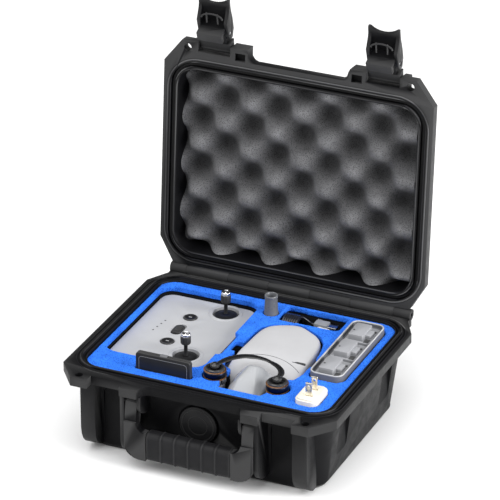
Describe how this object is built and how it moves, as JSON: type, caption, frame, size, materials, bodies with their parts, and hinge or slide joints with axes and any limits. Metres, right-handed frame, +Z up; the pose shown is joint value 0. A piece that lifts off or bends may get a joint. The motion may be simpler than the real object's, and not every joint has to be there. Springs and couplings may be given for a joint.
{
  "type": "hard carrying case for a camera drone",
  "caption": "Open hard plastic carrying case with hinged lid, latches, folding handle, cut foam and a packed folding camera drone kit.",
  "frame": {"origin": "middle of the base's flat underside", "axes": "+Z up, +Y towards the hinge at the back, +X to the right seen from the front"},
  "size_m": [0.27, 0.2872, 0.3632],
  "materials": {
    "shell_black": "fine moulded texture",
    "hard_black": "satin",
    "grip_rubber": "matt ribbed",
    "seal_rubber": "matt",
    "steel_pin": "drawn",
    "foam_black": "cellular",
    "foam_blue": "cellular",
    "foam_egg_crate": "cellular, convoluted",
    "controller_grey": "satin",
    "control_black": "satin",
    "drone_grey": "satin",
    "cover_grey": "satin",
    "motor_metal": "anodised",
    "propeller_black": "satin",
    "hub_grey": "satin",
    "battery_grey": "satin",
    "charger_white": "gloss",
    "case_black": "satin",
    "tube_grey": "satin",
    "cable_black": "satin",
    "plug_grey": "satin",
    "plug_white": "satin",
    "prong_metal": "bright plated"
  },
  "bodies": {
    "base": {"base_shell": "shell_black", "vent_cap": "hard_black", "vent_seal": "seal_rubber", "hinge_pin": "steel_pin", "foam_lower": "foam_black", "foam_blue_top": "foam_blue", "handle_pin_left": "steel_pin", "handle_pin_right": "steel_pin"},
    "lid": {"lid_shell": "shell_black", "lid_gasket": "seal_rubber", "lid_foam": "foam_egg_crate", "latch_pin_left": "steel_pin", "latch_pin_right": "steel_pin"},
    "handle": {"handle_frame": "hard_black", "handle_grip": "grip_rubber"},
    "controller": {"controller_front": "controller_grey", "controller_back": "controller_grey"},
    "stick_dome_rear": {"stick_dome_rear": "control_black"},
    "stick_knob_rear": {"stick_knob_rear": "control_black"},
    "stick_dome_front": {"stick_dome_front": "control_black"},
    "stick_knob_front": {"stick_knob_front": "control_black"},
    "button_rear": {"button_rear": "control_black"},
    "button_front": {"button_front": "control_black"},
    "mode_switch": {"mode_switch": "control_black"},
    "drone": {"drone_body": "drone_grey", "gimbal_cover": "cover_grey", "motor_left": "motor_metal", "motor_right": "motor_metal", "propeller_left": "propeller_black", "propeller_right": "propeller_black"},
    "battery_hub": {"battery_hub": "hub_grey"},
    "battery_1": {"battery_1": "battery_grey"},
    "battery_2": {"battery_2": "battery_grey"},
    "battery_3": {"battery_3": "battery_grey"},
    "charger": {"charger_body": "charger_white", "charger_prongs": "prong_metal"},
    "card_case": {"card_case_front": "case_black", "card_case_back": "case_black"},
    "tool_tube": {"tool_tube": "tube_grey"},
    "cable": {"cable_coil": "cable_black", "cable_lead_a": "cable_black", "cable_lead_b": "cable_black", "cable_plug_a": "plug_grey", "cable_plug_b": "plug_white"},
    "latch_link_left": {"latch_link_left": "hard_black", "lever_pin_left": "steel_pin"},
    "latch_lever_left": {"latch_lever_left": "hard_black"},
    "latch_link_right": {"latch_link_right": "hard_black", "lever_pin_right": "steel_pin"},
    "latch_lever_right": {"latch_lever_right": "hard_black"}
  },
  "joints": [
    {"name": "lid_hinge", "type": "hinge", "parent": "base", "child": "lid", "pos_m": [0, 0.1116, 0.0846], "axis": [-1, 0, 0], "range_deg": [-94.3, 0], "deforming": ["lid_foam"]},
    {"name": "handle_hinge", "type": "hinge", "parent": "base", "child": "handle", "pos_m": [0, -0.112, 0.0668], "axis": [-1, 0, 0], "range_deg": [0, 90]},
    {"name": "latch_link_left_hinge", "type": "hinge", "parent": "lid", "child": "latch_link_left", "pos_m": [0, 0.13359, 0.31039], "axis": [-1, 0, 0], "range_deg": [-66, 25]},
    {"name": "latch_lever_left_hinge", "type": "hinge", "parent": "latch_link_left", "child": "latch_lever_left", "pos_m": [0, 0.12926, 0.32902], "axis": [-1, 0, 0], "range_deg": [0, 75]},
    {"name": "latch_link_right_hinge", "type": "hinge", "parent": "lid", "child": "latch_link_right", "pos_m": [0, 0.13359, 0.31039], "axis": [-1, 0, 0], "range_deg": [-66, 25]},
    {"name": "latch_lever_right_hinge", "type": "hinge", "parent": "latch_link_right", "child": "latch_lever_right", "pos_m": [0, 0.12926, 0.32902], "axis": [-1, 0, 0], "range_deg": [0, 75]},
    {"name": "controller_lift", "type": "slide", "parent": "base", "child": "controller", "axis": [0, 0, 1], "range_m": [0, 0.06]},
    {"name": "drone_lift", "type": "slide", "parent": "base", "child": "drone", "axis": [0, 0, 1], "range_m": [0, 0.07]},
    {"name": "battery_hub_lift", "type": "slide", "parent": "base", "child": "battery_hub", "axis": [0, 0, 1], "range_m": [0, 0.07]},
    {"name": "charger_lift", "type": "slide", "parent": "base", "child": "charger", "axis": [0, 0, 1], "range_m": [0, 0.04]},
    {"name": "card_case_lift", "type": "slide", "parent": "base", "child": "card_case", "axis": [0, 0, 1], "range_m": [0, 0.05]},
    {"name": "tool_tube_lift", "type": "slide", "parent": "base", "child": "tool_tube", "axis": [0, 0, 1], "range_m": [0, 0.05]},
    {"name": "cable_lift", "type": "slide", "parent": "base", "child": "cable", "axis": [0, 0, 1], "range_m": [0, 0.04]},
    {"name": "battery_1_slide", "type": "slide", "parent": "battery_hub", "child": "battery_1", "axis": [0, 0, 1], "range_m": [0, 0.045]},
    {"name": "battery_2_slide", "type": "slide", "parent": "battery_hub", "child": "battery_2", "axis": [0, 0, 1], "range_m": [0, 0.045]},
    {"name": "battery_3_slide", "type": "slide", "parent": "battery_hub", "child": "battery_3", "axis": [0, 0, 1], "range_m": [0, 0.045]},
    {"name": "stick_rear_tilt_y", "type": "hinge", "parent": "controller", "child": "stick_dome_rear", "pos_m": [-0.0455, 0.0645, 0.0707], "axis": [1, 0, 0], "range_deg": [-18, 18], "stiffness_Nm_per_rad": 0.02},
    {"name": "stick_rear_tilt_x", "type": "hinge", "parent": "stick_dome_rear", "child": "stick_knob_rear", "pos_m": [-0.0455, 0.0645, 0.0707], "axis": [0, 1, 0], "range_deg": [-18, 18], "stiffness_Nm_per_rad": 0.02},
    {"name": "stick_front_tilt_y", "type": "hinge", "parent": "controller", "child": "stick_dome_front", "pos_m": [-0.0455, -0.025, 0.0707], "axis": [1, 0, 0], "range_deg": [-18, 18], "stiffness_Nm_per_rad": 0.02},
    {"name": "stick_front_tilt_x", "type": "hinge", "parent": "stick_dome_front", "child": "stick_knob_front", "pos_m": [-0.0455, -0.025, 0.0707], "axis": [0, 1, 0], "range_deg": [-18, 18], "stiffness_Nm_per_rad": 0.02},
    {"name": "button_rear_press", "type": "slide", "parent": "controller", "child": "button_rear", "axis": [0, 0, -1], "range_m": [0, 0.0008], "stiffness_N_per_m": 500},
    {"name": "button_front_press", "type": "slide", "parent": "controller", "child": "button_front", "axis": [0, 0, -1], "range_m": [0, 0.0008], "stiffness_N_per_m": 500},
    {"name": "mode_switch_slide", "type": "slide", "parent": "controller", "child": "mode_switch", "axis": [0, 1, 0], "range_m": [-0.0024, 0.0024]}
  ]
}
